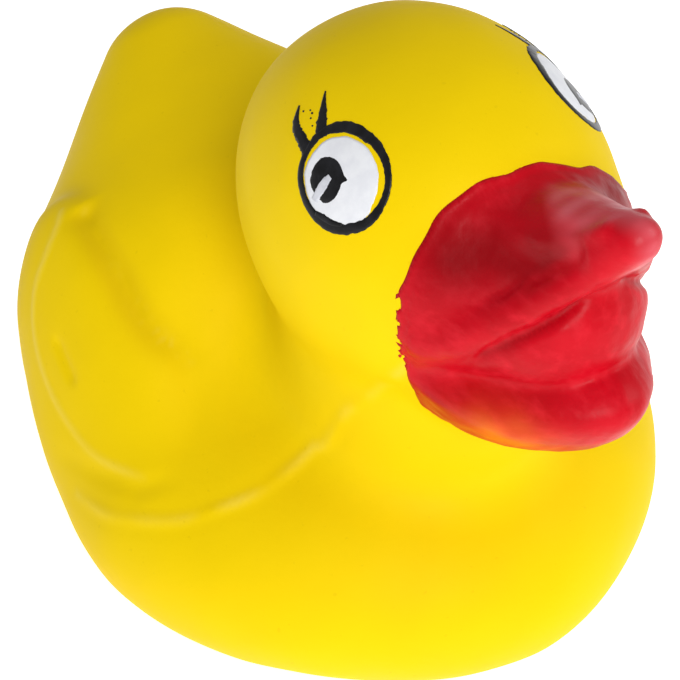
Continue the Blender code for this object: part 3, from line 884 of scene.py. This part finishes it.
class Paint:
    """A Principled material with small helpers to wire noise into it."""

    def __init__(self, name, roughness, specular):
        self.material = bpy.data.materials.new(name)
        self.material.use_nodes = True
        self.tree = self.material.node_tree
        self.shader = self.tree.nodes["Principled BSDF"]
        self.shader.inputs["Roughness"].default_value = roughness
        self.shader.inputs["Specular IOR Level"].default_value = specular
        self.place = self.tree.nodes.new("ShaderNodeTexCoord").outputs["Object"]

    def node(self, kind, **values):
        made = self.tree.nodes.new(kind)
        for name, value in values.items():
            setattr(made, name, value)
        return made

    def noise(self, scale, detail=4.0, stretch=(1, 1, 1), rough=0.55):
        mapping = self.node("ShaderNodeMapping")
        mapping.inputs["Scale"].default_value = stretch
        self.tree.links.new(self.place, mapping.inputs["Vector"])
        made = self.node("ShaderNodeTexNoise")
        made.inputs["Scale"].default_value = scale
        made.inputs["Detail"].default_value = detail
        made.inputs["Roughness"].default_value = rough
        self.tree.links.new(mapping.outputs["Vector"], made.inputs["Vector"])
        return made.outputs["Fac"]

    def remap(self, source, low, high, to_low, to_high):
        made = self.node("ShaderNodeMapRange")
        made.inputs["From Min"].default_value = low
        made.inputs["From Max"].default_value = high
        made.inputs["To Min"].default_value = to_low
        made.inputs["To Max"].default_value = to_high
        self.tree.links.new(source, made.inputs["Value"])
        return made.outputs["Result"]

    def attribute(self, name):
        return self.node("ShaderNodeAttribute", attribute_name=name).outputs["Fac"]

    def mix(self, share, first, second):
        made = self.node("ShaderNodeMix", data_type="RGBA")
        self.tree.links.new(share, made.inputs["Factor"])
        for value, socket in ((first, made.inputs[MIX_FIRST]), (second, made.inputs[MIX_SECOND])):
            if isinstance(value, tuple):
                socket.default_value = (*value, 1.0)
            else:
                self.tree.links.new(value, socket)
        return made.outputs[MIX_RESULT]

    def colour(self, source):
        self.tree.links.new(source, self.shader.inputs["Base Color"])

    def roughness(self, source):
        self.tree.links.new(source, self.shader.inputs["Roughness"])

    def bumps(self, layers):
        """Bump layers of (height, depth in metres)."""
        normal = None
        for height, depth in layers:
            made = self.node("ShaderNodeBump")
            made.inputs["Distance"].default_value = depth
            self.tree.links.new(height, made.inputs["Height"])
            if normal:
                self.tree.links.new(normal, made.inputs["Normal"])
            normal = made.outputs["Normal"]
        self.tree.links.new(normal, self.shader.inputs["Normal"])


def latex_material():
    paint = Paint("latex", 0.5, 0.06)
    blotch = paint.remap(paint.noise(28, 3), 0.35, 0.65, 0.0, 1.0)
    colour = paint.mix(blotch, (0.78, 0.545, 0.0), (0.82, 0.58, 0.0))
    # Paler yellow: painted highlights along the wing's rim and parting line, and pale flecks in the
    # groove. Darker yellow: painted shade in the groove.
    colour = paint.mix(paint.attribute("highlight_and_flecks"), colour, (0.80, 0.62, 0.10))
    colour = paint.mix(paint.attribute("painted_shade"), colour, (0.52, 0.33, 0.0))
    specks = paint.remap(paint.noise(900, 2), 0.71, 0.76, 0.0, 0.35)
    paint.colour(paint.mix(specks, colour, (0.66, 0.45, 0.0)))
    paint.roughness(paint.remap(paint.noise(60, 4), 0.3, 0.7, 0.50, 0.62))
    fine = paint.noise(1400, 3)
    soft = paint.noise(220, 3)
    paint.bumps([(soft, 0.00006), (fine, 0.00002)])
    return paint.material


def beak_material():
    paint = Paint("beak_paint", 0.4, 0.12)
    streak = paint.noise(520, 5, (1.0, 0.22, 0.8), 0.6)
    patch = paint.noise(110, 4)
    blotch = paint.remap(patch, 0.35, 0.65, 0.0, 1.0)
    colour = paint.mix(blotch, (0.44, 0.0, 0.006), (0.54, 0.001, 0.010))
    colour = paint.mix(paint.remap(streak, 0.5, 0.72, 0.0, 0.7), colour, (0.62, 0.010, 0.022))
    # Dark red is painted shade on the bill's side and in the crease; greyish pink is a painted sheen
    # on the bill's top.
    colour = paint.mix(paint.attribute("painted_shade"), colour, (0.20, 0.0, 0.002))
    colour = paint.mix(paint.attribute("painted_sheen"), colour, (0.60, 0.10, 0.125))
    colour = paint.mix(paint.attribute("thin"), colour, (0.76, 0.16, 0.003))
    paint.colour(colour)
    paint.roughness(paint.remap(streak, 0.3, 0.7, 0.30, 0.46))
    lumps = paint.noise(300, 4)
    grain = paint.noise(1500, 4)
    paint.bumps([(lumps, 0.00006), (streak, 0.00008), (grain, 0.00002)])
    return paint.material


def plain_paint(name, first, second, roughness, depth):
    paint = Paint(name, roughness, 0.25)
    paint.colour(paint.mix(paint.remap(paint.noise(500, 4), 0.4, 0.65, 0.0, 1.0), first, second))
    paint.bumps([(paint.noise(700, 4), depth)])
    return paint.material


def mark_body():
    """Painted highlights as pale lines along the wing's rim and the parting line, pale flecks along
    the groove, and painted shade as a deeper tone in the groove.
    """
    places = back_to_fit(body)
    left = mirrored(places)
    groove_gap, groove_share = near_line(left, WING_GROOVE)
    groove = groove_fade(groove_share)
    rim_gap, rim_share = near_line(left, WING_RIM)
    rim = ends(rim_share, 0.08, 0.8)
    parting_gap, _ = near_line(left, PARTING)
    rim_noise = 0.5 + 0.5 * waves(places, 6.0, 31)
    # Pale lines along the rim and parting ridges are painted highlights.
    highlight_and_flecks = 0.30 * bump(parting_gap, 0.6) * rim_noise + 0.6 * rim * bump(rim_gap, 0.5)
    flecks = smooth(0.5, 1.1, waves(places, 1.3, 33))
    highlight_and_flecks = highlight_and_flecks + 0.5 * groove * bump(groove_gap, 0.8) * flecks
    field(body, "highlight_and_flecks", np.clip(highlight_and_flecks, 0, 1))
    # The darker tone in the groove is painted shade.
    field(body, "painted_shade", np.clip(0.34 * groove * bump(groove_gap, 2.4), 0, 1))


# Thin paint low on the jaw's right, and how wide the painted sheen on the beak's top is at each place
# forward.

THIN_PLACE = (-10.0, -51.5, 62.2)
THIN_REACH = (5.8, 5.6, 3.6)
SHEEN_FORWARD = (43, 45.4, 48.8, 52, 54.9, 56.4, 58.1)
SHEEN_HALF_WIDTH = (0.0, 1.4, 3.6, 4.8, 4.4, 3.8, 1.8)


def mark_beak():
    """Thin orange paint, a painted sheen on the top, and painted shade on the side and in the crease.
    """
    places = back_to_fit(beak)
    left = mirrored(places)
    orange = bump(np.linalg.norm((places - THIN_PLACE) / THIN_REACH, axis=1), 1.0)
    field(beak, "thin", np.clip(orange * (0.85 + 0.2 * waves(places, 4.0, 41)), 0, 1))
    # A greyish pink painted sheen over the bill's top.
    edge = np.interp(-left[:, 1], SHEEN_FORWARD, SHEEN_HALF_WIDTH)
    above = smooth(86.0, 89.0, places[:, 2]) * smooth(43.0, 46.0, -places[:, 1])
    streaks = 0.8 + 0.2 * waves(places * (0.3, 1, 1), 2.5, 43)
    painted_sheen = above * smooth(1.0, -1.8, left[:, 0] - edge) * streaks
    field(beak, "painted_sheen", np.clip(0.85 * painted_sheen, 0, 1))
    # Painted shade along the bill's side and in the crease under the lip.
    side_gap, _ = near_line(left, SHADOW_SIDE)
    lip_gap, _ = near_line(left, LIP_POINTS)
    crease = bump(lip_gap - 3.0, 0.5) * smooth(0.8, 0.0, WEB.distance(left))
    painted_shade = 0.9 * bump(side_gap, 5.2) * (1 - painted_sheen) * smooth(1.6, 3.4, lip_gap)
    field(beak, "painted_shade", np.clip(np.maximum(painted_shade, 0.5 * crease), 0, 1))


mark_body()
mark_beak()

WHITE_TONES = (0.76, 0.77, 0.80), (0.70, 0.71, 0.75)
BLACK_TONES = (0.003, 0.003, 0.004), (0.009, 0.009, 0.012)
GLINT_TONES = (0.62, 0.63, 0.68), (0.50, 0.51, 0.56)

for obj, material in (
    (body, latex_material()),
    (beak, beak_material()),
    (eye_white, plain_paint("eye_white", *WHITE_TONES, 0.4, 0.00006)),
    (eye_black, plain_paint("eye_black", *BLACK_TONES, 0.3, 0.00008)),
    (eye_glint, plain_paint("eye_glint", *GLINT_TONES, 0.4, 0.00006)),
):
    obj.data.materials.append(material)
    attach(obj, "root")
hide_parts("latex_shell")


# Stage, lights and camera. The camera's numbers come from the fit to the photo, in millimetres.

CAMERA_TARGET = (0.8, 0.0, 37.7)
CAMERA_WAY = (-0.4382, -0.6377, 0.6334)
CAMERA_DISTANCE = 340.0
CAMERA_FIELD_DEG = 16.3
SENSOR_WIDTH = 36.0
LIGHT_TARGET = (0, 0, 0.05)
FLOOR_SIZE = 12


def look_at(obj, place, target):
    obj.location = place
    obj.rotation_euler = (Vector(target) - Vector(place)).to_track_quat("-Z", "Y").to_euler()


def area_light(name, place, target, size, energy):
    data = bpy.data.lights.new(name, "AREA")
    data.shape = "DISK"
    data.size = size
    data.energy = energy
    obj = bpy.data.objects.new(name, data)
    bpy.context.scene.collection.objects.link(obj)
    look_at(obj, place, target)


bpy.ops.mesh.primitive_plane_add(size=FLOOR_SIZE)
floor = bpy.context.object
floor.name = "floor"
floor_paint = Paint("floor", 0.9, 0.1)
floor_paint.shader.inputs["Base Color"].default_value = (0.95, 0.95, 0.95, 1.0)
floor_paint.shader.inputs["Emission Color"].default_value = (1.0, 1.0, 1.0, 1.0)
floor_paint.shader.inputs["Emission Strength"].default_value = 0.64
floor.data.materials.append(floor_paint.material)

world = bpy.data.worlds.new("studio")
world.use_nodes = True
world.node_tree.nodes["Background"].inputs["Color"].default_value = (1.0, 1.0, 1.0, 1.0)
world.node_tree.nodes["Background"].inputs["Strength"].default_value = 0.44
bpy.context.scene.world = world

area_light("key", (-0.34, -0.72, 0.46), LIGHT_TARGET, 0.5, 4.7)
area_light("top", (0.1, 0.1, 1.0), LIGHT_TARGET, 0.5, 0.5)
area_light("side", (0.55, -0.4, 0.35), (0, -0.02, 0.06), 0.35, 1.2)

target = Vector(CAMERA_TARGET) + Vector(TO_ROW)
away = Vector(CAMERA_WAY).normalized()
camera_data = bpy.data.cameras.new("camera")
camera = bpy.data.objects.new("camera", camera_data)
bpy.context.scene.collection.objects.link(camera)
camera_data.sensor_width = SENSOR_WIDTH
camera_data.lens = SENSOR_WIDTH / 2 / math.tan(math.radians(CAMERA_FIELD_DEG / 2))
camera_data.clip_start = 0.01
look_at(camera, (target + away * CAMERA_DISTANCE) * TO_METRES, target * TO_METRES)
bpy.context.scene.camera = camera
bpy.context.scene.view_settings.view_transform = "Standard"
